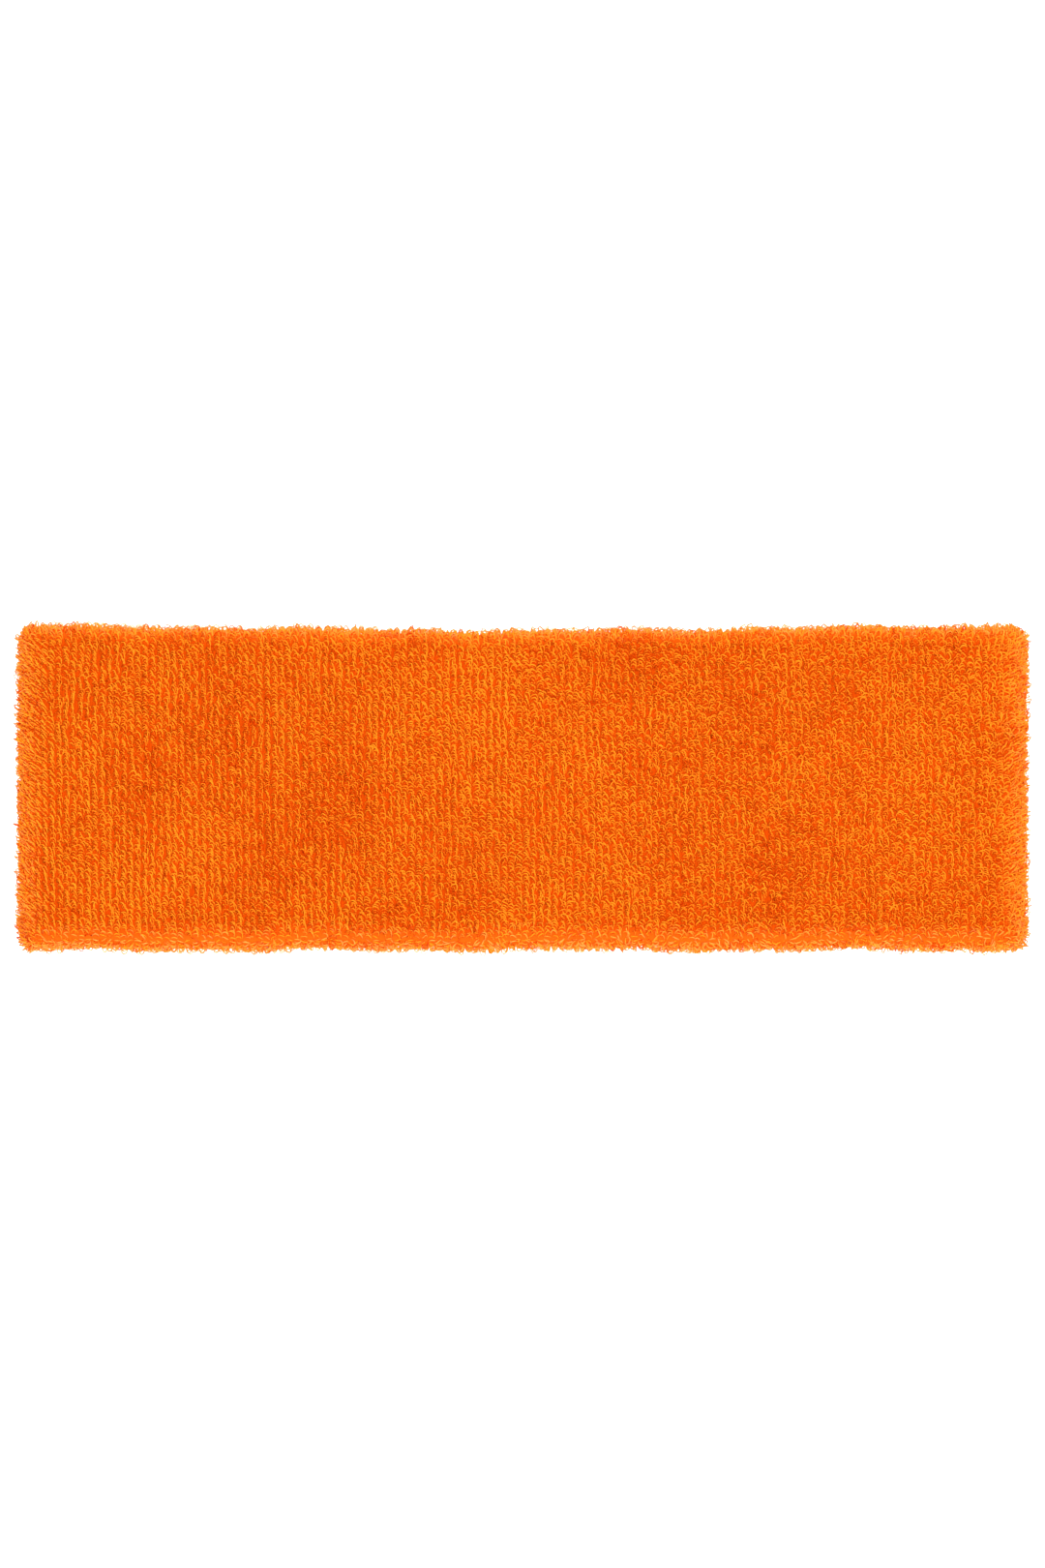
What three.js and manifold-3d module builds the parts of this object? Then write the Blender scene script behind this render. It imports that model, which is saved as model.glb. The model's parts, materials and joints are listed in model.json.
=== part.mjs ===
// A terry-knit sports headband lying flat: one endless band whose wall is two layers of
// loop-pile terry, knitted as a single tube and folded on itself, with elastic yarns
// between the layers and a linked seam that closes the tube on the inside.
//
// Units are millimetres. X runs along the flat band from fold to fold, Y is the band's
// height, along the knitted ribs, and Z is up. The origin is under the band's centre, on
// the surface that it lies on.
//
// The cloth is divided crosswise into links, so that the band opens from flat to a round
// ring: a centre link at the back, two links on each side of it, one link at each fold and
// the same again along the front, where the two sides meet in the middle. Every link holds
// a length of all the layers. Wall links turn about the inner face of the wall. A fold link
// is a half ring and turns about its own middle: it is drawn as it lies flat, and its cloth
// squashes against the walls as the fold opens.

import * as THREE from 'three';
import { mergeVertices } from 'three/addons/utils/BufferGeometryUtils.js';
import Module from 'manifold-3d';

// The whole band
const BAND_LENGTH = 180;
const BAND_HEIGHT = 58;
const HEAD_GAP = 4.6; // between the inner faces of the back and the front wall

// The layers of the wall, from the outside in
const OUTER_TERRY = 2.0; // ground knit and pile loops together
const ELASTIC = 0.4;
const INNER_TERRY = 2.0;
const SEAM_BEAD = 1.2; // diameter of the linked seam
const LAYER_CLEARANCE = 0.3;

// The links
const CENTRE_LINK = 32; // length of the link in the middle of the back
const LINK_CLEARANCE = 0.3;

// Facets of the round shapes
const ARC_DIVISIONS = 4;
const RING_DIVISIONS = 48;

// Worked out from the sizes above
const WALL = OUTER_TERRY + ELASTIC + INNER_TERRY + 2 * LAYER_CLEARANCE;
const INNER_RADIUS = HEAD_GAP / 2;
const OUTER_RADIUS = INNER_RADIUS + WALL;
const POCKET_RADIUS = OUTER_RADIUS - OUTER_TERRY;
const POCKET_TOP = BAND_HEIGHT / 2 - OUTER_TERRY;
const FOLD_X = BAND_LENGTH / 2 - OUTER_RADIUS;
const FIRST_HINGE_X = CENTRE_LINK / 2;
const SECOND_HINGE_X = (FIRST_HINGE_X + FOLD_X) / 2;
const MIDDLE_Z = OUTER_RADIUS;
const QUARTER_TURN = Math.PI / 2;

const wasm = await Module();
wasm.setup();

const terryMaterial = () => new THREE.MeshStandardMaterial({ color: 0xf56910, roughness: 0.9, metalness: 0 });
const elasticMaterial = () => new THREE.MeshStandardMaterial({ color: 0xe8e2d6, roughness: 0.7, metalness: 0 });
const seamMaterial = () => new THREE.MeshStandardMaterial({ color: 0xe85c0c, roughness: 0.8, metalness: 0 });

// Sections of the layers. Each is drawn with the distance from the middle of the fold
// across and the band's height up, so the same section serves the walls and the folds.

// The outer terry wraps round the top and bottom edges of the band to the inner face.
function outerTerrySection() {
  const lipRadius = OUTER_TERRY / 2;
  const lipAcross = INNER_RADIUS + lipRadius;
  const lipHeight = POCKET_TOP + lipRadius;
  const section = new THREE.Shape();
  section.moveTo(POCKET_RADIUS, -POCKET_TOP);
  section.lineTo(POCKET_RADIUS, POCKET_TOP);
  section.lineTo(lipAcross, POCKET_TOP);
  section.absarc(lipAcross, lipHeight, lipRadius, -QUARTER_TURN, QUARTER_TURN, true);
  section.lineTo(POCKET_RADIUS, BAND_HEIGHT / 2);
  section.absarc(POCKET_RADIUS, POCKET_TOP, OUTER_TERRY, QUARTER_TURN, 0, true);
  section.lineTo(OUTER_RADIUS, -POCKET_TOP);
  section.absarc(POCKET_RADIUS, -POCKET_TOP, OUTER_TERRY, 0, -QUARTER_TURN, true);
  section.lineTo(lipAcross, -BAND_HEIGHT / 2);
  section.absarc(lipAcross, -lipHeight, lipRadius, -QUARTER_TURN, QUARTER_TURN, true);
  section.closePath();
  return section;
}

function rectangleSection(nearRadius, farRadius, bottom, top) {
  const section = new THREE.Shape();
  section.moveTo(nearRadius, bottom);
  section.lineTo(farRadius, bottom);
  section.lineTo(farRadius, top);
  section.lineTo(nearRadius, top);
  section.closePath();
  return section;
}

// The elastic yarns, as one layer, fill the pocket from edge to edge.
function elasticSection() {
  const farRadius = POCKET_RADIUS - LAYER_CLEARANCE;
  const reach = POCKET_TOP - LAYER_CLEARANCE;
  return rectangleSection(farRadius - ELASTIC, farRadius, -reach, reach);
}

// The inner terry stops above the seam that joins it to the bottom edge.
function innerTerrySection() {
  const bottom = -POCKET_TOP + 2 * LAYER_CLEARANCE + SEAM_BEAD;
  return rectangleSection(INNER_RADIUS, INNER_RADIUS + INNER_TERRY, bottom, POCKET_TOP - LAYER_CLEARANCE);
}

function seamSection() {
  const beadRadius = SEAM_BEAD / 2;
  const section = new THREE.Shape();
  section.absarc(INNER_RADIUS + beadRadius, -POCKET_TOP + LAYER_CLEARANCE + beadRadius, beadRadius, 0, 2 * Math.PI);
  return section;
}

const LAYERS = [
  { name: 'outer_terry', section: outerTerrySection(), material: terryMaterial },
  { name: 'elastic', section: elasticSection(), material: elasticMaterial },
  { name: 'inner_terry', section: innerTerrySection(), material: terryMaterial },
  { name: 'closing_seam', section: seamSection(), material: seamMaterial },
];

// Solids

function toSolid(geometry) {
  geometry.deleteAttribute('normal');
  geometry.deleteAttribute('uv');
  const merged = mergeVertices(geometry);
  return new wasm.Manifold(new wasm.Mesh({
    numProp: 3,
    vertProperties: new Float32Array(merged.attributes.position.array),
    triVerts: new Uint32Array(merged.index.array),
  }));
}

function toGeometry(solid) {
  const mesh = solid.getMesh();
  const geometry = new THREE.BufferGeometry();
  geometry.setAttribute('position', new THREE.BufferAttribute(mesh.vertProperties, 3));
  geometry.setIndex(new THREE.BufferAttribute(mesh.triVerts, 1));
  geometry.computeVertexNormals();
  return geometry;
}

// A ring of the section round the fold's middle, along Y
function ringSolid(section) {
  const outline = section.getPoints(ARC_DIVISIONS);
  if (THREE.ShapeUtils.isClockWise(outline)) outline.reverse();
  outline.push(outline[0].clone());
  return toSolid(new THREE.LatheGeometry(outline, RING_DIVISIONS));
}

// A block that holds the half of the ring beyond the walls' ends, towards +X
function foldHalfSolid() {
  const reach = 2 * OUTER_RADIUS;
  const block = new THREE.BoxGeometry(reach, 2 * BAND_HEIGHT, 2 * reach);
  block.translate(reach / 2, 0, 0);
  return toSolid(block);
}

const band = new THREE.Group();

function addPiece(layer, place, geometry) {
  const mesh = new THREE.Mesh(geometry, layer.material());
  mesh.name = `${layer.name}_${place}`;
  band.add(mesh);
  return mesh;
}

// A straight link of one wall, from one X to another
function addWallLink(place, wall, fromX, toX) {
  for (const layer of LAYERS) {
    const geometry = new THREE.ExtrudeGeometry(layer.section, {
      depth: toX - fromX,
      bevelEnabled: false,
      curveSegments: 2 * ARC_DIVISIONS,
    });
    const mesh = addPiece(layer, place, geometry);
    const isBack = wall === 'back';
    mesh.rotation.y = isBack ? QUARTER_TURN : -QUARTER_TURN;
    mesh.position.set(isBack ? fromX : toX, 0, MIDDLE_Z);
  }
}

function addFoldLink(place, side) {
  const half = foldHalfSolid();
  for (const layer of LAYERS) {
    const mesh = addPiece(layer, place, toGeometry(ringSolid(layer.section).intersect(half)));
    mesh.rotation.y = side > 0 ? 0 : Math.PI;
    mesh.position.set(side * FOLD_X, 0, MIDDLE_Z);
  }
}

// Links between one hinge and the next, on the side of the band that the sign gives
function addSideLink(place, wall, side, nearX, farX) {
  const fromX = side > 0 ? nearX : -farX;
  const toX = side > 0 ? farX : -nearX;
  addWallLink(place, wall, fromX, toX);
}

const HALF_GAP = LINK_CLEARANCE / 2;

addWallLink('back_centre', 'back', -FIRST_HINGE_X + HALF_GAP, FIRST_HINGE_X - HALF_GAP);
for (const [sideName, side] of [['right', 1], ['left', -1]]) {
  for (const wall of ['back', 'front']) {
    const place = `${wall}_${sideName}`;
    addSideLink(`${place}_1`, wall, side, FIRST_HINGE_X + HALF_GAP, SECOND_HINGE_X - HALF_GAP);
    addSideLink(`${place}_2`, wall, side, SECOND_HINGE_X + HALF_GAP, FOLD_X - LINK_CLEARANCE);
  }
  addFoldLink(`fold_${sideName}`, side);
  addSideLink(`front_${sideName}_centre`, 'front', side, HALF_GAP, FIRST_HINGE_X - HALF_GAP);
}

export default band;
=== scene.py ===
# %% [markdown]
# # A terry headband, loop by loop
#
# A sports headband is an endless tube of terry: a thin ground knit with thousands of cotton
# loops standing on it. What the eye reads as "towelling" is those loops, so this lesson
# models them as real yarn and not as a bump on a smooth block. The frame gives every size
# and says which rigid body each stretch of cloth follows.

# %% Load the frame
import json
import math
import bpy
import numpy as np
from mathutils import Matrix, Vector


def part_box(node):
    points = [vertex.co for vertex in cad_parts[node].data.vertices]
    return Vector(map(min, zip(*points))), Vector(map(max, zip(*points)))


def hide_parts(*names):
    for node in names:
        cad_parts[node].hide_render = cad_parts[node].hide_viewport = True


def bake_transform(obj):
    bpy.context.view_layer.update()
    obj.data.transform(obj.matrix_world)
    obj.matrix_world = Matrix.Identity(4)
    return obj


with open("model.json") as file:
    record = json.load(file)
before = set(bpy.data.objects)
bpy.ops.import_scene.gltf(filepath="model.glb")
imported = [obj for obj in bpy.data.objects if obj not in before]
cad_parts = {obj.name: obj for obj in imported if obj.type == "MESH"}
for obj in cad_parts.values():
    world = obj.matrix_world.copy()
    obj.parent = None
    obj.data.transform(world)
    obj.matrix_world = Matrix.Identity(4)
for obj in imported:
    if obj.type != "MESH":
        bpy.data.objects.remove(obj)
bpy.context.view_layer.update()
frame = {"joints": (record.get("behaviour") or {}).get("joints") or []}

# %% [markdown]
# ## Sizes of the band
#
# Nothing is guessed that the frame already knows. The fold's axis is a joint, the wall's
# thickness is the outer terry's, and the places where one stretch of cloth hands over to
# the next are half-way along each link.

# %% Read the band's sizes from the frame
MM = 0.001
SIDES = {"right": 1, "left": -1}
WALLS = {"back": 1, "front": -1}

joint_place = {joint["name"]: joint["pos_m"] for joint in frame["joints"]}
fold_x = joint_place["right_fold_back"][0]
middle_z = joint_place["right_fold_back"][2]
near_hinge_x = joint_place["band_opening"][0]
far_hinge_x = joint_place["right_back_far"][0]
half_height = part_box("outer_terry_back_centre")[1].y
outer_radius = middle_z
inner_radius = middle_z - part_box("outer_terry_back_centre")[1].z
elastic_radius = middle_z - sum(corner.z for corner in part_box("elastic_back_centre")) / 2
seam_low, seam_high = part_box("closing_seam_back_centre")
seam_radius = middle_z - (seam_low.z + seam_high.z) / 2
seam_height = (seam_low.y + seam_high.y) / 2
print("fold axis at", fold_x, middle_z, "wall from", inner_radius, "to", outer_radius)

# %% [markdown]
# ## The ground knit's section
#
# Cut across, the terry tube is a flat ring: one face outside, one against the skin, and a
# tight round at the top and bottom edges. One number, the distance round this section,
# places a stitch anywhere on it. Zero is the middle of the outer face, and the number
# grows upwards, over the top edge and down the inside.

# %% Describe the section of the tube
PILE_HEIGHT = 1.35 * MM
EDGE_PILE_HEIGHT = 1.2 * MM
tube_centre = (outer_radius + inner_radius) / 2
tube_half_thickness = (outer_radius - inner_radius) / 2 - PILE_HEIGHT
face_half_height = half_height - EDGE_PILE_HEIGHT - tube_half_thickness
edge_round = math.pi * tube_half_thickness
half_girth = 2 * face_half_height + edge_round


def section_frame(girth):
    """Radius, height, direction and outward normal at distances round the section."""
    up = np.sign(girth)
    along = np.abs(girth)
    turn = np.clip((along - face_half_height) / tube_half_thickness, 0, math.pi)
    beyond = np.clip(along - face_half_height - edge_round, 0, None)
    height = np.minimum(along, face_half_height) + tube_half_thickness * np.sin(turn) - beyond
    radius = tube_centre + tube_half_thickness * np.cos(turn)
    direction = np.stack([-up * np.sin(turn), np.cos(turn)], 1)
    normal = np.stack([np.cos(turn), up * np.sin(turn)], 1)
    return radius, up * height, direction, normal


print("tube is", 2 * tube_half_thickness / MM, "mm thick and", 2 * half_girth / MM, "mm round")

# %% [markdown]
# ## Laying the section along the band
#
# The band is four quarters that mirror each other: right and left, back and front. Each
# quarter runs straight from the middle to the fold, then a quarter turn round the fold.
# One function lays any stitch of a quarter in space and returns the cloth's own three
# directions there, so that yarn can be grown on it. Real cloth isn't ruled with a
# straight edge, so the function also lets the edges wander a little and the front sag.

# %% Lay stitches along a quarter of the band
RIB_RADIUS = outer_radius - PILE_HEIGHT / 2
EDGE_DIP = 0.9 * MM
EDGE_DIP_REACH = 52 * MM
EDGE_WANDER = 0.16 * MM
LONG_WANDER = 7.3 * MM
SHORT_WANDER = 3.1 * MM
WANDER_PHASE = 1.2
FRONT_SAG = 0.7 * MM
BOTTOM_TUCK = 0.5 * MM
CORNER_SOFTNESS = 0.1 * MM
CORNER_REACH = 9 * MM
quarter_length = fold_x + RIB_RADIUS * math.pi / 2


def edge_shift(x, height, station):
    """How far a stitch moves up or down, since edges wander and corners are soft."""
    top_share = np.clip(height / half_height, 0, 1)
    bottom_share = np.clip(-height / half_height, 0, 1)
    dip = -EDGE_DIP * np.exp(-((x / EDGE_DIP_REACH) ** 2))
    wander = EDGE_WANDER * (np.sin(x / LONG_WANDER) + np.sin(x / SHORT_WANDER + WANDER_PHASE))
    corner = CORNER_SOFTNESS * np.clip(1 - (quarter_length - station) / CORNER_REACH, 0, 1) ** 3
    return top_share * (dip + wander - corner) + bottom_share * (wander + corner + BOTTOM_TUCK)


def lay_on_quarter(station, girth, side, wall):
    """Points on the ground knit, with its directions along the band, round the section and outwards."""
    straight = np.minimum(station, fold_x)
    turn = np.clip((station - fold_x) / RIB_RADIUS, 0, math.pi / 2)
    radius, height, direction, normal = section_frame(girth)
    outward = np.stack([side * np.sin(turn), 0 * turn, -wall * np.cos(turn)], 1)
    along = np.stack([side * np.cos(turn), 0 * turn, wall * np.sin(turn)], 1)
    sag = FRONT_SAG * (1 - (straight / fold_x) ** 2) ** 2 if wall < 0 else 0
    upright = np.array([0.0, 1.0, 0.0])
    place = outward * (radius - sag)[:, None]
    place[:, 0] += side * straight
    place[:, 1] += height + edge_shift(side * straight, height, station)
    place[:, 2] += middle_z
    round_section = direction[:, :1] * outward + direction[:, 1:] * upright
    outwards = normal[:, :1] * outward + normal[:, 1:] * upright
    return place, along, round_section, outwards


print("a quarter of the band is", round(quarter_length / MM, 1), "mm long")

# %% [markdown]
# ## Who carries which stretch
#
# Every piece of cloth runs from the middle of one link to the middle of the next, so it
# crosses exactly one hinge.

# %% List the stretches of cloth
near_link_middle = (near_hinge_x + far_hinge_x) / 2
far_link_middle = (far_hinge_x + fold_x) / 2


def stretches():
    """What each stretch of cloth spans, follows and stands for."""
    found = []
    for side_name, side in SIDES.items():
        for wall_name, wall in WALLS.items():
            place = f"{wall_name}_{side_name}"
            centre = "back_centre" if wall_name == "back" else f"{place}_centre"
            ends = [0, near_link_middle, far_link_middle, quarter_length]
            bodies = [centre, f"{place}_1", f"{place}_2", f"fold_{side_name}"]
            stands_for = [[bodies[1]], [bodies[2]], [bodies[3]] if wall_name == "back" else []]
            if place != "back_left":
                stands_for[0].append(centre)
            for step in range(3):
                found.append({
                    "name": f"{place}_{step + 1}",
                    "side": side,
                    "wall": wall,
                    "ends": (ends[step], ends[step + 1]),
                    "bodies": (bodies[step], bodies[step + 1]),
                    "stands_for": stands_for[step],
                    "hinge": [near_hinge_x, far_hinge_x, None][step],
                })
    return found


def bend_across(piece):
    """Bakes a piece's placement into its mesh."""
    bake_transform(piece)


cloth = stretches()
print(len(cloth), "stretches of cloth")

# %% [markdown]
# ## Yarn as a swept tube
#
# A loop of yarn is a line with a thickness. Curves with a bevel would do for a few dozen,
# but there are tens of thousands here, so numpy sweeps a small ring along every loop at
# once. Each loop also gets its own patch of the UV map, which the finish of the yarn and
# any later baking can read.

# %% Turn arrays into a mesh
BAKE_MAP = "OFBake"


def new_piece(name, points, quads, uv, values):
    """A mesh object from arrays of points, four-cornered faces, UV corners and values per point."""
    mesh = bpy.data.meshes.new(name)
    mesh.vertices.add(len(points))
    mesh.vertices.foreach_set("co", points.astype(np.float32).ravel())
    mesh.loops.add(quads.size)
    mesh.loops.foreach_set("vertex_index", quads.astype(np.int32).ravel())
    mesh.polygons.add(len(quads))
    mesh.polygons.foreach_set("loop_start", np.arange(0, quads.size, 4, dtype=np.int32))
    mesh.update(calc_edges=True)
    mesh.shade_smooth()
    layer = mesh.uv_layers.new(name=BAKE_MAP)
    layer.uv.foreach_set("vector", uv.astype(np.float32).ravel())
    for value_name, value in values.items():
        attribute = mesh.attributes.new(value_name, "FLOAT", "POINT")
        attribute.data.foreach_set("value", value.astype(np.float32))
    piece = bpy.data.objects.new(name, mesh)
    bpy.context.scene.collection.objects.link(piece)
    return piece


print("meshes are made from arrays, with the UV map", BAKE_MAP)

# %% [markdown]
# A tube is rings of points joined by four-cornered faces, with a cap at each end. The
# margin keeps each yarn's patch of the UV map clear of its neighbours', so that baked
# colours don't run from one yarn into the next.

# %% Sweep many yarns into one mesh
UV_MARGIN = 0.08


def sweep_yarns(name, lines, radius, sides, cells, tone, opening_and_sheen, reference=None):
    """Tubes along lines (yarns by points by three), each with its radius, tone and openness, which paints
    a sheen.
    """
    count, steps = lines.shape[:2]
    tangent = np.gradient(lines, axis=1)
    tangent /= np.linalg.norm(tangent, axis=2, keepdims=True)
    if reference is None:
        half_way = lines[:, steps // 2] - lines[:, 0]
        whole_way = lines[:, -1] - lines[:, 0]
        reference = np.cross(half_way, whole_way)[:, None]
    across = np.cross(tangent, reference)
    across /= np.linalg.norm(across, axis=2, keepdims=True)
    other = np.cross(tangent, across)
    angle = (np.arange(sides) + 0.5) * 2 * math.pi / sides
    ring = across[:, :, None] * np.cos(angle)[:, None] + other[:, :, None] * np.sin(angle)[:, None]
    points = lines[:, :, None] + radius[:, None, None, None] * ring

    first = np.arange(count)[:, None, None] * steps * sides
    step = np.arange(steps - 1)[None, :, None] * sides
    corner = np.arange(sides)[None, None, :]
    after = (corner + 1) % sides
    wall = np.stack([first + step + corner, first + step + after,
                     first + step + sides + after, first + step + sides + corner], -1)
    caps = first.reshape(-1, 1) + np.array([[3, 2, 1, 0]])
    far_caps = first.reshape(-1, 1) + (steps - 1) * sides + np.array([[0, 1, 2, 3]])
    quads = np.concatenate([wall.reshape(-1, 4), caps, far_caps])

    cell = np.stack([np.arange(count) % cells, np.arange(count) // cells], 1)[:, None, None, None]
    ahead, around = np.meshgrid(np.arange(steps - 1), np.arange(sides), indexing="ij")
    patch = np.stack([np.stack([ahead, around], -1), np.stack([ahead, around + 1], -1),
                      np.stack([ahead + 1, around + 1], -1), np.stack([ahead + 1, around], -1)], 2)
    patch = patch / [steps - 1, sides]
    wall_uv = cell + UV_MARGIN + (1 - 2 * UV_MARGIN) * patch[None]
    square = np.array([[0, 0], [1, 0], [1, 1], [0, 1]]) * UV_MARGIN / 2
    cap_uv = cell.reshape(-1, 1, 2) + UV_MARGIN / 4 + square
    far_uv = cap_uv + [1 - UV_MARGIN, 0]
    uv = np.concatenate([wall_uv.reshape(-1, 2), cap_uv.reshape(-1, 2), far_uv.reshape(-1, 2)]) / cells

    # The rise runs from 0 at a yarn's ends to 1 at its middle. The colour group uses it for painted shade,
    # so each loop's feet are painted deeper.
    rise = np.sin(np.linspace(0, math.pi, steps))
    values = {
        "yarn_tone": np.repeat(tone, steps * sides),
        "yarn_rise": np.tile(np.repeat(rise, sides), count),
        # The openness, times the rise, paints a paler sheen on the loops' tops.
        "yarn_open": np.repeat(opening_and_sheen, steps * sides) * np.tile(np.repeat(rise, sides), count),
    }
    return new_piece(name, points.reshape(-1, 3), quads, uv, values)


print("each yarn keeps", UV_MARGIN, "of its patch of the UV map free at the rim")

# %% [markdown]
# ## The pile
#
# One pile loop is an arch of yarn. Its two feet stand side by side in one rib, and as it
# rises it bows over towards the next loop up the rib, like a roof tile. Every loop gets a
# slightly different length, bow, twist and heading. A slow drift over the cloth turns
# neighbours together, because washing and handling comb the pile in patches.

# %% Set out the stitches
RIB_PITCH = 1.28 * MM
STITCH_PITCH = 0.415 * MM
YARN_RADIUS = 0.115 * MM
LOOP_LENGTH = 1.68 * MM
LOOP_HALF_WIDTH = 0.58 * MM
LOOP_SWEEP = math.radians(270)
LOOP_STEPS = 7
OUTER_SHARE_OF_EDGE = 0.6
ribs_in_quarter = round(quarter_length / RIB_PITCH)
rib_pitch = quarter_length / ribs_in_quarter
OUTER_REACH = face_half_height + OUTER_SHARE_OF_EDGE * edge_round


def drift(place, seed, wave, count=7):
    """A slow random value through space, about -1 to 1, from a few crossing waves of about this length."""
    dice = np.random.default_rng(seed)
    total = np.zeros(len(place))
    for _ in range(count):
        heading = dice.normal(0, 1, 3)
        heading /= np.linalg.norm(heading) * wave * dice.uniform(0.6, 1.6)
        total += np.sin(place @ heading * 2 * math.pi + dice.uniform(0, 2 * math.pi))
    return total / math.sqrt(count)


def stitch_grid(stretch, outer, pitch):
    """Station and distance round the section of each stitch on the outer or inner pile."""
    first, last = (round(end / rib_pitch) for end in stretch["ends"])
    station = (np.arange(first, last) + 0.5) * rib_pitch
    stitches = round(2 * half_girth / pitch)
    girth = ((np.arange(stitches) + 0.5) / stitches * 2 - 1) * half_girth
    between = girth + half_girth / stitches
    on_edge = np.abs(np.abs(between) - face_half_height - edge_round / 2) < edge_round / 3
    girth = np.concatenate([girth, between[on_edge]])
    chosen = np.abs(girth) < OUTER_REACH if outer else np.abs(girth) >= OUTER_REACH
    grid = np.meshgrid(station, girth[chosen], indexing="ij")
    return grid[0].ravel(), grid[1].ravel()


print(4 * ribs_in_quarter, "ribs of", round(rib_pitch / MM, 2), "mm")

# %% [markdown]
# Where the knit turns sharply, over the top and bottom edges and round the folds, its loops
# fan out and get a paler painted sheen. One value from 0 to 1 says how far they stand open.

# %% Say where the pile stands open
TOP_OPEN_REACH = 0.6 * MM
BOTTOM_OPEN_REACH = 2.5 * MM
FOLD_OPENING = 0.75


def openness(station, girth):
    """How far the pile stands open: 0 on the flat face, 1 on the edges and the folds."""
    reach = np.where(girth > 0, TOP_OPEN_REACH, BOTTOM_OPEN_REACH)
    edge = np.clip((np.abs(girth) - face_half_height + reach) / (edge_round / 2 + reach), 0, 1)
    fold = np.clip((station - fold_x) / (quarter_length - fold_x), 0, 1)
    share = np.maximum(edge, FOLD_OPENING * fold)
    return share * share * (3 - 2 * share)


print("the pile opens over the last", BOTTOM_OPEN_REACH / MM, "mm above the bottom edge")

# %% [markdown]
# One pile loop is an arch that bows over as it rises. The values below say how it stands on
# average, and how much loops differ. Disorder grows from the left end to the right, because
# handling never combs the whole band alike.

# %% Draw one loop at each stitch
SWIRL_SEED = 11
SWIRL_WAVE = 9 * MM
RIB_SHIFT_SEED = 12
RIB_SHIFT_WAVE = 14 * MM
RIB_SHIFT = 0.14 * MM
ALONG_JITTER = 0.16 * MM
ROUND_JITTER = 0.06 * MM
LEAST_DISORDER = 0.55
MOST_DISORDER = 0.9
DISORDER_GAIN = 0.35
DISORDER_START = 60 * MM
DISORDER_REACH = 110 * MM
MAIN_HEADING = 0.15
HEADING_SWIRL = 0.25
HEADING_SPREAD = 0.4
HEADING_EDGE_SPREAD = 0.25
MAIN_SLANT = 0.75
SLANT_FADE = 1.5
SLANT_SWIRL = 0.4
SLANT_SPREAD = 0.5
TWIST_SPREAD = 0.35
TWIST_EDGE_SPREAD = 0.5
MAIN_BOW = 1.0
BOW_SPREAD = 0.2
BOW_SWIRL = 0.08
BOW_RANGE = (0.6, 1.7)
BOW_EDGE_LOSS = 0.35
LENGTH_SPREAD = 0.13
LENGTH_EDGE_SPREAD = 0.1
LENGTH_EDGE_LOSS = 0.12
LENGTH_RANGE = (0.5, 1.4)
WIDTH_RANGE = (0.82, 1.16)


def loop_lines(stretch, station, girth, dice, steps, width):
    """The centre line of one loop of yarn at each stitch."""
    count = len(station)
    side = stretch["side"]
    wall = stretch["wall"]
    place = lay_on_quarter(station, girth, side, wall)[0]
    swirl = drift(place, SWIRL_SEED, SWIRL_WAVE)
    station = station - side * wall * RIB_SHIFT * drift(place, RIB_SHIFT_SEED, RIB_SHIFT_WAVE)
    station = station + dice.normal(0, ALONG_JITTER, count)
    girth = girth + dice.normal(0, ROUND_JITTER, count)
    place, along, up, out = lay_on_quarter(station, girth, side, wall)
    round_head = -side * wall * along
    edge = openness(station, girth)
    gain = DISORDER_GAIN * (place[:, 0] + DISORDER_START) / DISORDER_REACH
    disorder = np.clip(LEAST_DISORDER + gain, LEAST_DISORDER, MOST_DISORDER)
    heading_noise = dice.normal(0, HEADING_SPREAD + HEADING_EDGE_SPREAD * edge)
    heading = MAIN_HEADING + disorder * (HEADING_SWIRL * swirl + heading_noise)
    slant_noise = dice.normal(0, SLANT_SPREAD, count)
    slant = MAIN_SLANT * (SLANT_FADE - disorder) * (1 - edge)
    slant = slant + disorder * (SLANT_SWIRL * swirl + slant_noise)
    twist = disorder * dice.normal(0, TWIST_SPREAD + TWIST_EDGE_SPREAD * edge)
    bow = np.clip(dice.normal(MAIN_BOW, BOW_SPREAD, count) + BOW_SWIRL * swirl, *BOW_RANGE)
    bow = bow * (1 - BOW_EDGE_LOSS * edge)
    stretched = dice.normal(1, LENGTH_SPREAD + LENGTH_EDGE_SPREAD * edge) - LENGTH_EDGE_LOSS * edge
    length = LOOP_LENGTH * np.clip(stretched, *LENGTH_RANGE)
    half_width = width * dice.uniform(*WIDTH_RANGE, count)

    sweep = np.linspace(-LOOP_SWEEP / 2, LOOP_SWEEP / 2, steps)
    arch_half_height = length / (1 - math.cos(LOOP_SWEEP / 2))
    sideways = half_width[:, None] * np.sin(sweep)
    rise = arch_half_height[:, None] * (np.cos(sweep) - math.cos(LOOP_SWEEP / 2))
    share = rise / length[:, None]
    lean = bow[:, None] * share
    outward = (length / bow)[:, None] * np.sin(lean) - YARN_RADIUS
    over = (length / bow)[:, None] * (1 - np.cos(lean))

    turned = heading[:, None] * share
    cos_turn = np.cos(turned)[..., None]
    sin_turn = np.sin(turned)[..., None]
    forward = up[:, None] * cos_turn + round_head[:, None] * sin_turn
    crosswise = round_head * np.cos(slant)[:, None] - up * np.sin(slant)[:, None]
    through = forward * np.cos(lean)[..., None] - out[:, None] * np.sin(lean)[..., None]
    curl = (twist[:, None] * share)[..., None]
    spread = crosswise[:, None] * np.cos(curl) + through * np.sin(curl)
    return (place[:, None] + spread * sideways[..., None]
            + out[:, None] * outward[..., None] + forward * over[..., None])


print("a loop stands", LOOP_LENGTH / MM, "mm long and is", 2 * LOOP_HALF_WIDTH / MM, "mm wide")

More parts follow.
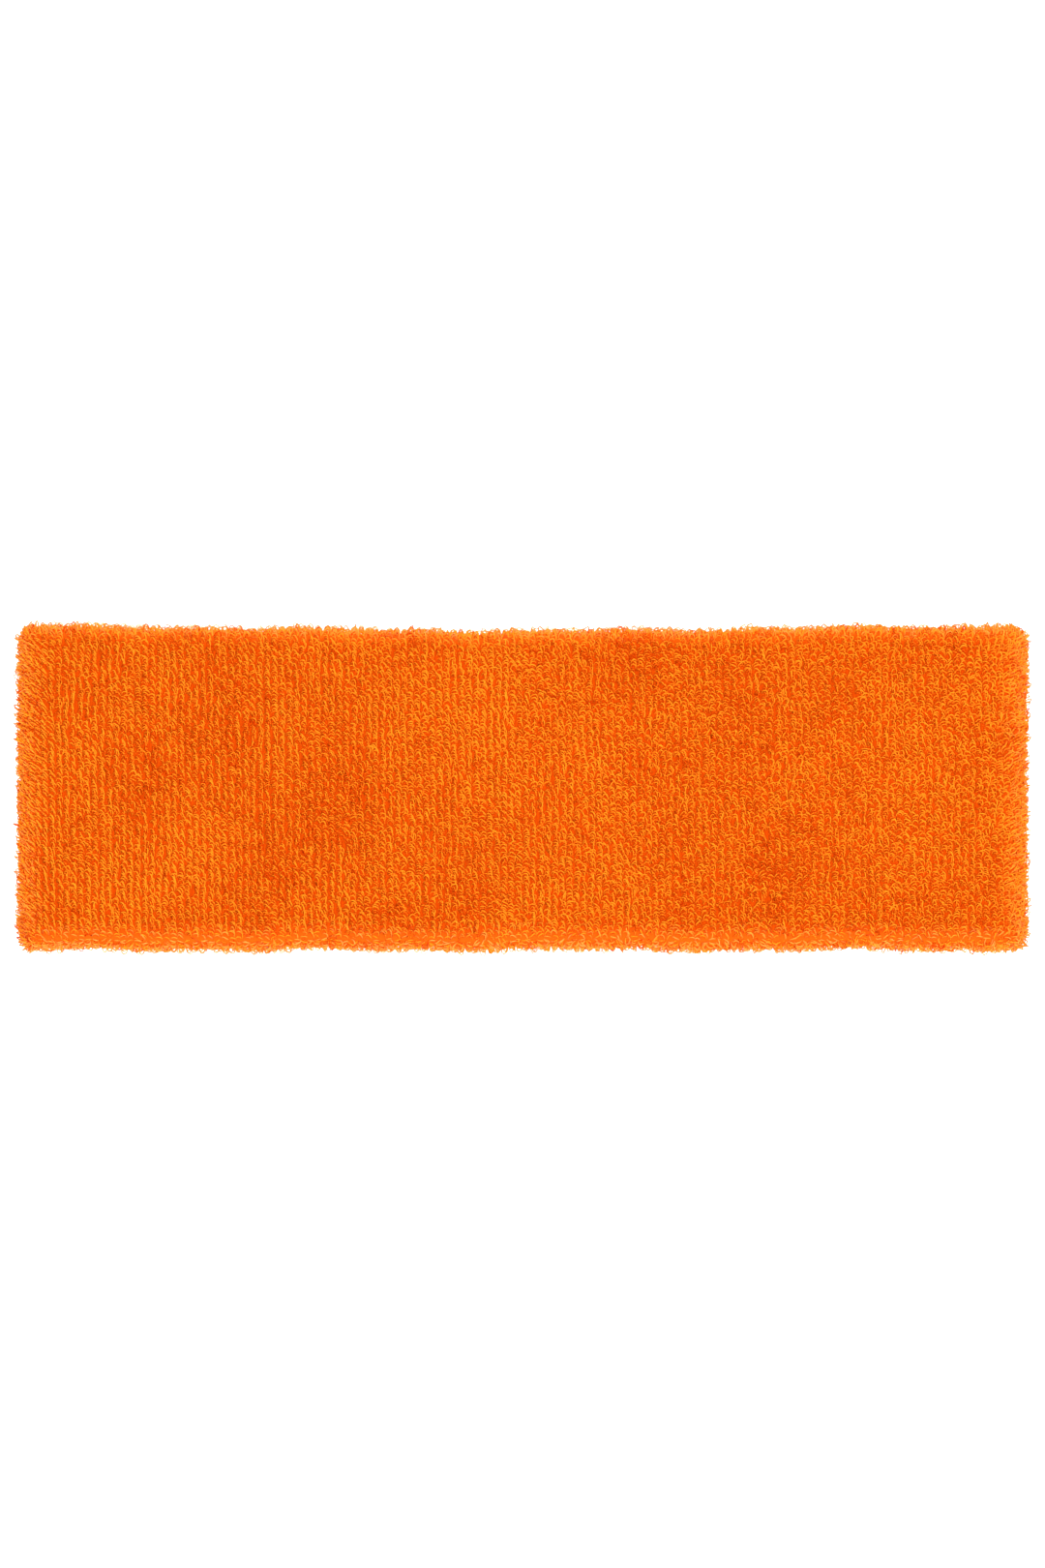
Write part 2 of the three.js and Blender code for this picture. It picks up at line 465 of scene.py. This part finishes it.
# %% [markdown]
# The pile against the skin is seen only through the opening, so it is coarser than the
# outer one. Both leave the closing seam clear. Each loop has its own tone, and a slow
# drift over the cloth makes patches that took the dye a little lighter or deeper.

# %% Grow the pile of one stretch
PILE_CELLS = 70
PILE_SIDES = 4
LINING_PITCH = 0.62 * MM
LINING_HALF_WIDTH = 0.6 * MM
LINING_STEPS = 6
LINING_THICKENING = 1.15
SEAM_CLEARANCE = 0.75 * MM
SEEDS_PER_STRETCH = 100
PATCH_SEED = 13
PATCH_WAVE = 26 * MM
PATCH_TONE = 0.13
MEAN_TONE = -0.42
TONE_SPREAD = 0.28
OPEN_TONE_SPREAD = 0.3
OPEN_SHEEN_TONE = 0.2
THICKNESS_RANGE = (0.85, 1.15)
MEAN_OPENING = 0.35
OPENING_SPREAD = 0.55


def grow_pile(stretch, outer, number):
    """All the pile loops of one stretch, on its outer face and edges or on its inner face."""
    dice = np.random.default_rng(SEEDS_PER_STRETCH * number + (1 if outer else 2))
    station, girth = stitch_grid(stretch, outer, STITCH_PITCH if outer else LINING_PITCH)
    height = section_frame(girth)[1]
    clear = outer | (girth > 0) | (np.abs(height - seam_height) > SEAM_CLEARANCE)
    station = station[clear]
    girth = girth[clear]
    steps = LOOP_STEPS if outer else LINING_STEPS
    width = LOOP_HALF_WIDTH if outer else LINING_HALF_WIDTH
    lines = loop_lines(stretch, station, girth, dice, steps, width)
    patch = drift(lines[:, 0], PATCH_SEED, PATCH_WAVE)
    opening_and_sheen = openness(station, girth)
    noise = dice.normal(MEAN_TONE, TONE_SPREAD + OPEN_TONE_SPREAD * opening_and_sheen)
    # Open pile gets a paler tone: a painted sheen.
    tone = PATCH_TONE * patch + noise + OPEN_SHEEN_TONE * opening_and_sheen
    radius = YARN_RADIUS * dice.uniform(*THICKNESS_RANGE, len(station))
    radius = radius * (1 if outer else LINING_THICKENING)
    name = ("pile_" if outer else "lining_pile_") + stretch["name"]
    opening_and_sheen = opening_and_sheen * np.clip(dice.normal(MEAN_OPENING, OPENING_SPREAD, len(station)), 0, 1)
    return sweep_yarns(name, lines, radius, PILE_SIDES, PILE_CELLS, tone, opening_and_sheen)


print("the lining's loops are", LINING_PITCH / MM, "mm apart up the rib")

# %% [markdown]
# ## The ground knit
#
# Under the loops lies the cloth that holds them. It is mostly hidden, so a smooth closed
# tube, painted the dark colour of the shade in the pile as painted shade, with a fine relief
# in its finish is enough. Its job is to stop light from leaking through the pile.

# %% Build the ground knit
GROUND_STEP = 1.0 * MM
GROUND_LIFT = 0.45 * MM
EDGE_LIFT = 0.25 * MM


def knit_ground(stretch):
    """The closed tube of ground knit along one stretch."""
    first, last = (round(end / rib_pitch) * rib_pitch for end in stretch["ends"])
    columns = round((last - first) / GROUND_STEP) + 1
    rows = round(2 * half_girth / GROUND_STEP)
    stations = np.linspace(first, last, columns)
    girths = np.linspace(-half_girth, half_girth, rows, endpoint=False)
    station, girth = np.meshgrid(stations, girths, indexing="ij")
    points, _, _, out = lay_on_quarter(station.ravel(), girth.ravel(), stretch["side"], stretch["wall"])
    opening_and_sheen = openness(station.ravel(), girth.ravel())
    points = points + (GROUND_LIFT + EDGE_LIFT * opening_and_sheen)[:, None] * out
    column, row = np.meshgrid(np.arange(columns - 1), np.arange(rows), indexing="ij")
    after = (row + 1) % rows
    quads = np.stack([column * rows + row, (column + 1) * rows + row,
                      (column + 1) * rows + after, column * rows + after], -1).reshape(-1, 4)
    mirrored = stretch["side"] * stretch["wall"] < 0
    if mirrored:
        quads = quads[:, ::-1]
    share = np.stack([column, row], -1)
    uv = np.stack([share, share + [1, 0], share + [1, 1], share + [0, 1]], 2) / [columns - 1, rows]
    uv = uv.reshape(-1, 4, 2)
    if mirrored:
        uv = uv[:, ::-1]
    # Where the knit turns over an edge, the openness paints a paler sheen on the ground.
    values = {"yarn_open": opening_and_sheen}
    piece = new_piece("ground_knit_" + stretch["name"], points, quads, uv.reshape(-1, 2), values)
    piece["cloth_size"] = (last - first, 2 * half_girth)
    return piece


print("the ground knit has a point every", GROUND_STEP / MM, "mm")

# %% [markdown]
# ## The elastic
#
# Between the two layers of cloth run covered elastic yarns, side by side. They give the
# band its grip and are only seen where the tube is cut open. They are long straight
# yarns, so the same sweep makes them.

# %% Run the elastic yarns
ELASTIC_YARNS = 14
ELASTIC_CELLS = 4
ELASTIC_RADIUS = 0.2 * MM
ELASTIC_STEP = 1.5 * MM
ELASTIC_SIDES = 6
ELASTIC_TONE = 0.3
WEAVE_DEPTH = 0.12 * MM
WEAVE_LENGTH = 2.2 * MM
elastic_half_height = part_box("elastic_back_centre")[1].y - ELASTIC_RADIUS


def lay_inside(station, radius, height, side, wall):
    """Points at a radius and a height inside the tube, with the directions along the band and outwards."""
    middle, along, _, out = lay_on_quarter(station, np.zeros(len(station)), side, wall)
    sag_and_pile = (tube_centre + tube_half_thickness - radius)[:, None]
    place = middle - out * sag_and_pile
    place[:, 1] += height - middle[:, 1]
    return place, along, out


def run_elastic(stretch):
    """The covered elastic yarns along one stretch."""
    first, last = (round(end / rib_pitch) * rib_pitch for end in stretch["ends"])
    station = np.linspace(first, last, round((last - first) / ELASTIC_STEP) + 1)
    spread = np.linspace(-1, 1, ELASTIC_YARNS) * elastic_half_height
    lines = []
    references = []
    for row, height in enumerate(spread):
        radius = elastic_radius + WEAVE_DEPTH * np.sin(station / WEAVE_LENGTH + row * math.pi)
        place, _, out = lay_inside(station, radius, height, stretch["side"], stretch["wall"])
        lines.append(place)
        references.append(out)
    thickness = np.full(ELASTIC_YARNS, ELASTIC_RADIUS)
    tone = np.full(ELASTIC_YARNS, ELASTIC_TONE)
    closed = np.zeros(ELASTIC_YARNS)
    name = "elastic_yarns_" + stretch["name"]
    return sweep_yarns(name, np.array(lines), thickness, ELASTIC_SIDES, ELASTIC_CELLS,
                       tone, closed, np.array(references))


print(ELASTIC_YARNS, "elastic yarns, each", 2 * ELASTIC_RADIUS / MM, "mm thick")

# %% [markdown]
# ## The closing seam
#
# The tube is one strip of cloth, folded over and closed along the inside of the bottom
# edge. The seam's thread winds round the two raw edges like a spring, over a core of
# three yarns. A helix round the seam's line gives that winding.

# %% Sew the closing seam
SEAM_STITCH = 0.95 * MM
SEAM_CELLS = 2
SEAM_STEPS_PER_STITCH = 10
SEAM_THREAD_RADIUS = 0.13 * MM
SEAM_CORE_OFFSET = 0.17 * MM
SEAM_CORE_YARNS = 3
SEAM_CORE_THICKENING = 1.3
SEAM_CORE_TONE = -0.1
SEAM_TONE = 0.3
SEAM_SIDES = 6
seam_winding = (seam_high.z - seam_low.z) / 2 - SEAM_THREAD_RADIUS


def sew_seam(stretch):
    """The wound thread and the core yarns of the seam along one stretch."""
    first, last = (round(end / rib_pitch) * rib_pitch for end in stretch["ends"])
    steps = round((last - first) / SEAM_STITCH) * SEAM_STEPS_PER_STITCH + 1
    station = np.linspace(first, last, steps)
    radius = np.full(len(station), seam_radius)
    centre, along, out = lay_inside(station, radius, seam_height, stretch["side"], stretch["wall"])
    upright = np.array([0.0, 1.0, 0.0])
    turn = station[:, None] / SEAM_STITCH * 2 * math.pi
    lines = [centre + seam_winding * (np.cos(turn) * out + np.sin(turn) * upright)]
    for core in range(SEAM_CORE_YARNS):
        turn = core * 2 * math.pi / SEAM_CORE_YARNS
        lines.append(centre + SEAM_CORE_OFFSET * (math.cos(turn) * out + math.sin(turn) * upright))
    reference = np.array([along + out] * len(lines))
    thickness = np.array([1.0] + [SEAM_CORE_THICKENING] * SEAM_CORE_YARNS) * SEAM_THREAD_RADIUS
    tone = np.array([SEAM_TONE] + [SEAM_CORE_TONE] * SEAM_CORE_YARNS)
    name = "seam_thread_" + stretch["name"]
    return sweep_yarns(name, np.array(lines), thickness, SEAM_SIDES, SEAM_CELLS,
                       tone, np.zeros(len(lines)), reference)


print("seam at radius", round(seam_radius / MM, 2), "and height", round(seam_height / MM, 1))

# %% [markdown]
# ## The colour of the yarn: dye and painted shade
#
# A yarn's dye is painted with shade: deep at its foot, where little light reaches it, paler at
# its top, darker again in the grooves between its plies, and paler still, a painted sheen,
# where the pile stands open. One group holds this, so that the pile, the knit, the elastic and
# the seam differ only in the shades they are given.

# %% A shader group for dyed yarn
RISE_SHADE_SHARE = 0.4
PLY_SHADE_SHARE = 1.6


def socket(group, name, way, kind, value=None):
    """Adds an input or an output to a shader group."""
    made = group.interface.new_socket(name=name, in_out=way, socket_type=kind)
    if value is not None:
        made.default_value = value
    return made


def dye_and_shade_group():
    """Colour of dyed cotton yarn with painted shade, deep at a loop's foot and paler at its top, and a
    painted sheen where open.
    """
    group = bpy.data.node_groups.new("dyed yarn", "ShaderNodeTree")
    socket(group, "Deep", "INPUT", "NodeSocketColor", (0.8, 0.06, 0.002, 1))
    socket(group, "Light", "INPUT", "NodeSocketColor", (0.95, 0.2, 0.01, 1))
    socket(group, "Opened", "INPUT", "NodeSocketColor", (1.0, 0.3, 0.05, 1))
    socket(group, "Ply", "INPUT", "NodeSocketFloat", 0.5)
    socket(group, "Colour", "OUTPUT", "NodeSocketColor")
    nodes, links = group.nodes, group.links
    given = nodes.new("NodeGroupInput")
    result = nodes.new("NodeGroupOutput")
    tone = nodes.new("ShaderNodeAttribute")
    tone.attribute_name = "yarn_tone"
    rise = nodes.new("ShaderNodeAttribute")
    rise.attribute_name = "yarn_rise"
    # The rise paints shade: the foot of a loop is painted deep and its top paler.
    share = nodes.new("ShaderNodeMath")
    share.operation = "MULTIPLY_ADD"
    share.inputs[1].default_value = RISE_SHADE_SHARE
    links.new(rise.outputs["Fac"], share.inputs[0])
    links.new(tone.outputs["Fac"], share.inputs[2])
    # The ply grooves are painted darker still, as painted shade.
    grooved = nodes.new("ShaderNodeMath")
    grooved.operation = "MULTIPLY_ADD"
    grooved.inputs[1].default_value = PLY_SHADE_SHARE
    links.new(given.outputs["Ply"], grooved.inputs[0])
    links.new(share.outputs[0], grooved.inputs[2])
    mix = nodes.new("ShaderNodeMix")
    mix.data_type = "RGBA"
    mix.clamp_factor = True
    links.new(grooved.outputs[0], mix.inputs["Factor"])
    links.new(given.outputs["Deep"], mix.inputs["A"])
    links.new(given.outputs["Light"], mix.inputs["B"])
    # Where the pile stands open, a paler colour is painted on as a painted sheen.
    opening_and_sheen = nodes.new("ShaderNodeAttribute")
    opening_and_sheen.attribute_name = "yarn_open"
    painted_sheen = nodes.new("ShaderNodeMix")
    painted_sheen.data_type = "RGBA"
    painted_sheen.clamp_factor = True
    links.new(opening_and_sheen.outputs["Fac"], painted_sheen.inputs["Factor"])
    links.new(mix.outputs["Result"], painted_sheen.inputs["A"])
    links.new(given.outputs["Opened"], painted_sheen.inputs["B"])
    links.new(painted_sheen.outputs["Result"], result.inputs["Colour"])
    return group


dye_and_shade = dye_and_shade_group()
print("group", dye_and_shade.name, "has", len(dye_and_shade.nodes), "nodes")

# %% [markdown]
# ## The twist of the yarn
#
# Cotton yarn is plied, so slanting grooves run round it, with fine fibres on top. A sine
# along the yarn's own patch of the UV map gives the grooves, and noise the fibres. An image
# could hold the same, but this stays sharp at any distance and reads no file.

# %% A shader group for the yarn's twist
FIBRE_SCALE = 9.0
FIBRE_DETAIL = 2.0
GROOVE_SHARE = 0.3
FIBRE_ROUGHNESS = 0.35


def yarn_twist_group():
    """The slanting grooves of plied yarn with its fine fibres, as a height and a roughness."""
    group = bpy.data.node_groups.new("yarn twist", "ShaderNodeTree")
    socket(group, "Cells", "INPUT", "NodeSocketFloat", 1.0)
    socket(group, "Turns", "INPUT", "NodeSocketFloat", 3.0)
    socket(group, "Roughness", "INPUT", "NodeSocketFloat", 0.5)
    socket(group, "Height", "OUTPUT", "NodeSocketFloat")
    socket(group, "Roughness", "OUTPUT", "NodeSocketFloat")
    nodes, links = group.nodes, group.links
    given = nodes.new("NodeGroupInput")
    result = nodes.new("NodeGroupOutput")
    place = nodes.new("ShaderNodeUVMap")
    place.uv_map = BAKE_MAP
    scaled = nodes.new("ShaderNodeVectorMath")
    scaled.operation = "SCALE"
    links.new(place.outputs["UV"], scaled.inputs["Vector"])
    links.new(given.outputs["Cells"], scaled.inputs["Scale"])
    parts = nodes.new("ShaderNodeSeparateXYZ")
    links.new(scaled.outputs["Vector"], parts.inputs["Vector"])
    slant = nodes.new("ShaderNodeMath")
    slant.operation = "MULTIPLY_ADD"
    links.new(parts.outputs["X"], slant.inputs[0])
    links.new(given.outputs["Turns"], slant.inputs[1])
    links.new(parts.outputs["Y"], slant.inputs[2])
    full_turn = nodes.new("ShaderNodeMath")
    full_turn.operation = "MULTIPLY"
    full_turn.inputs[1].default_value = 2 * math.pi
    links.new(slant.outputs[0], full_turn.inputs[0])
    wave = nodes.new("ShaderNodeMath")
    wave.operation = "SINE"
    links.new(full_turn.outputs[0], wave.inputs[0])
    fibre = nodes.new("ShaderNodeTexNoise")
    fibre.inputs["Scale"].default_value = FIBRE_SCALE
    fibre.inputs["Detail"].default_value = FIBRE_DETAIL
    links.new(scaled.outputs["Vector"], fibre.inputs["Vector"])
    height = nodes.new("ShaderNodeMath")
    height.operation = "MULTIPLY_ADD"
    height.inputs[1].default_value = GROOVE_SHARE
    links.new(wave.outputs[0], height.inputs[0])
    links.new(fibre.outputs["Fac"], height.inputs[2])
    links.new(height.outputs[0], result.inputs["Height"])
    rough = nodes.new("ShaderNodeMath")
    rough.operation = "MULTIPLY_ADD"
    rough.inputs[1].default_value = FIBRE_ROUGHNESS
    rough.use_clamp = True
    links.new(fibre.outputs["Fac"], rough.inputs[0])
    links.new(given.outputs["Roughness"], rough.inputs[2])
    links.new(rough.outputs[0], result.inputs["Roughness"])
    return group


yarn_twist = yarn_twist_group()
print("group", yarn_twist.name, "has", len(yarn_twist.nodes), "nodes")

# %% [markdown]
# ## A cotton finish
#
# Cotton is matt: it scatters light and hardly mirrors it, so the specular level is near
# zero. The material joins the two groups, and the twist's height both paints shade into the
# grooves and dents them through a bump.

# %% Make cotton from the two groups
PLY_DEPTH = 0.04 * MM
COTTON_SPECULAR = 0.02


def cotton(name, deep, light, opening_and_sheen, roughness, cells, turns):
    """A matt cotton finish between shades of one dye, with painted shade and sheen and the twist of its
    yarn.
    """
    material = bpy.data.materials.new(name)
    material.use_nodes = True
    nodes, links = material.node_tree.nodes, material.node_tree.links
    shader = nodes["Principled BSDF"]
    colour = nodes.new("ShaderNodeGroup")
    colour.node_tree = dye_and_shade
    colour.inputs["Deep"].default_value = deep
    colour.inputs["Light"].default_value = light
    colour.inputs["Opened"].default_value = opening_and_sheen
    links.new(colour.outputs["Colour"], shader.inputs["Base Color"])
    twist = nodes.new("ShaderNodeGroup")
    twist.node_tree = yarn_twist
    twist.inputs["Cells"].default_value = cells
    twist.inputs["Turns"].default_value = turns
    twist.inputs["Roughness"].default_value = roughness
    bump = nodes.new("ShaderNodeBump")
    bump.inputs["Strength"].default_value = 1.0
    bump.inputs["Distance"].default_value = PLY_DEPTH
    links.new(twist.outputs["Height"], bump.inputs["Height"])
    # The twist's height also paints shade into the grooves.
    links.new(twist.outputs["Height"], colour.inputs["Ply"])
    links.new(bump.outputs["Normal"], shader.inputs["Normal"])
    links.new(twist.outputs["Roughness"], shader.inputs["Roughness"])
    shader.inputs["Specular IOR Level"].default_value = COTTON_SPECULAR
    return material


print("grooves are", PLY_DEPTH / MM, "mm deep")

# %% [markdown]
# ## The four finishes
#
# Pile, seam and ground knit come from one dye bath. The ground is painted deepest, a painted
# shade, since it lies in the pile's shade. The elastic is wrapped in undyed yarn. The shades
# are the painted shade at a loop's foot, its top, and the painted sheen where the pile stands open.

# %% Mix the four finishes
PILE_TURNS = 8
SEAM_TURNS = 150
ELASTIC_TURNS = 80
GROUND_CELLS = 26
GROUND_TURNS = 2
DYED_ROUGHNESS = 0.3
ELASTIC_ROUGHNESS = 0.4
GROUND_ROUGHNESS = 0.6

# The third shade of each finish is the painted sheen where the pile stands open.
orange_pile = cotton(
    "orange cotton pile", (0.6, 0.036, 0.0001, 1), (0.97, 0.275, 0.012, 1), (1.0, 0.36, 0.07, 1),
    DYED_ROUGHNESS, PILE_CELLS, PILE_TURNS)
seam_orange = cotton(
    "orange seam thread", (0.75, 0.06, 0.001, 1), (0.95, 0.2, 0.004, 1), (1, 0.3, 0.05, 1),
    DYED_ROUGHNESS, SEAM_CELLS, SEAM_TURNS)
elastic_white = cotton(
    "covered elastic", (0.55, 0.5, 0.42, 1), (0.85, 0.82, 0.75, 1), (0.9, 0.88, 0.82, 1),
    ELASTIC_ROUGHNESS, ELASTIC_CELLS, ELASTIC_TURNS)
# The ground's two dark shades are painted shade, for the shadow under the pile.
orange_ground = cotton(
    "orange ground knit", (0.42, 0.036, 0.0001, 1), (0.48, 0.05, 0.0001, 1), (0.78, 0.12, 0.005, 1),
    GROUND_ROUGHNESS, GROUND_CELLS, GROUND_TURNS)
print(len(bpy.data.materials), "materials")

# %% [markdown]
# ## Putting the cloth together
#
# Each stretch gets its five pieces and their finishes, and each piece's placement is baked
# into its mesh. The plain solids they stand for are hidden.

# %% Put the cloth together
faces_in_pile = []
for number, stretch in enumerate(cloth):
    pile = grow_pile(stretch, True, number)
    lining = grow_pile(stretch, False, number)
    ground = knit_ground(stretch)
    elastic = run_elastic(stretch)
    seam = sew_seam(stretch)
    finishes = ((pile, orange_pile), (lining, orange_pile), (ground, orange_ground),
                (elastic, elastic_white), (seam, seam_orange))
    for piece, finish in finishes:
        piece.data.materials.append(finish)
        bend_across(piece)
    for place in stretch["stands_for"]:
        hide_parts("outer_terry_" + place)
        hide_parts("inner_terry_" + place)
        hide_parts("elastic_" + place)
        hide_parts("closing_seam_" + place)
    faces_in_pile.append(len(pile.data.polygons))
print("faces in the outer pile:", sum(faces_in_pile), "most in one piece:", max(faces_in_pile))

# %% [markdown]
# ## The floor
#
# A sheet of white paper. It glows a little, so that it stays white to its far edge and the
# band's soft shadow almost vanishes. It lies just below the pile, and is only a stage.

# %% Lay the paper
FLOOR_SIZE = 6.0
FLOOR_DROP = 0.001
PAPER_GREY = 0.93
PAPER_GLOW = 0.9
bpy.ops.mesh.primitive_plane_add(size=FLOOR_SIZE, location=(0, 0, -FLOOR_DROP))
floor = bpy.context.object
floor.name = "floor"
paper = bpy.data.materials.new("white paper")
paper.use_nodes = True
paper_shader = paper.node_tree.nodes["Principled BSDF"]
paper_shader.inputs["Base Color"].default_value = (PAPER_GREY, PAPER_GREY, PAPER_GREY, 1)
paper_shader.inputs["Roughness"].default_value = 1.0
paper_shader.inputs["Specular IOR Level"].default_value = 0.0
paper_shader.inputs["Emission Color"].default_value = (1, 1, 1, 1)
paper_shader.inputs["Emission Strength"].default_value = PAPER_GLOW
floor.data.materials.append(paper)
print("floor", FLOOR_SIZE, "m wide")

# %% [markdown]
# ## The light
#
# One large softbox overhead gives each loop a lit and a shaded side. A weak white surround
# fills the shade. The camera sees that surround at full white, while the cloth gets only
# a part of it, which a light path node tells apart.

# %% Light the band
AMBIENT = 0.3
KEY_PLACE = (0.08, 0.0, 1.55)
KEY_SIZE = 0.6
KEY_POWER = 40
world = bpy.data.worlds.new("studio")
bpy.context.scene.world = world
world.use_nodes = True
background = world.node_tree.nodes["Background"]
background.inputs["Color"].default_value = (1, 1, 1, 1)
seen = world.node_tree.nodes.new("ShaderNodeLightPath")
strength = world.node_tree.nodes.new("ShaderNodeMath")
strength.operation = "MULTIPLY_ADD"
strength.inputs[1].default_value = 1.0 - AMBIENT
strength.inputs[2].default_value = AMBIENT
world.node_tree.links.new(seen.outputs["Is Camera Ray"], strength.inputs[0])
world.node_tree.links.new(strength.outputs[0], background.inputs["Strength"])


def softbox(name, place, size, power):
    """A square area light that looks at the band."""
    light = bpy.data.lights.new(name, "AREA")
    light.shape = "SQUARE"
    light.size = size
    light.energy = power
    lamp = bpy.data.objects.new(name, light)
    bpy.context.scene.collection.objects.link(lamp)
    lamp.location = place
    direction = -lamp.location.normalized()
    lamp.rotation_euler = direction.to_track_quat("-Z", "Y").to_euler()
    return lamp


softbox("key softbox", KEY_PLACE, KEY_SIZE, KEY_POWER)
print("softbox", KEY_SIZE, "m wide at", KEY_PLACE)

# %% [markdown]
# ## The camera
#
# It looks straight down from far enough away that the band's thickness hardly shows. The
# lens follows from how much of the table should fill the frame.

# %% Place the camera
CAMERA_HEIGHT = 1.6
FRAME_HEIGHT = 0.2793
SENSOR = 36.0
CENTRE_OFFSET = 0.00095
FAR_CLIP = 20
camera_data = bpy.data.cameras.new("camera")
camera_data.sensor_width = SENSOR
camera_data.lens = SENSOR * (CAMERA_HEIGHT - middle_z) / FRAME_HEIGHT
camera_data.clip_end = FAR_CLIP
camera = bpy.data.objects.new("camera", camera_data)
bpy.context.scene.collection.objects.link(camera)
camera.location = (0, CENTRE_OFFSET, CAMERA_HEIGHT)
bpy.context.scene.camera = camera
bpy.context.scene.view_settings.view_transform = "Standard"
print("lens", round(camera_data.lens, 1), "mm")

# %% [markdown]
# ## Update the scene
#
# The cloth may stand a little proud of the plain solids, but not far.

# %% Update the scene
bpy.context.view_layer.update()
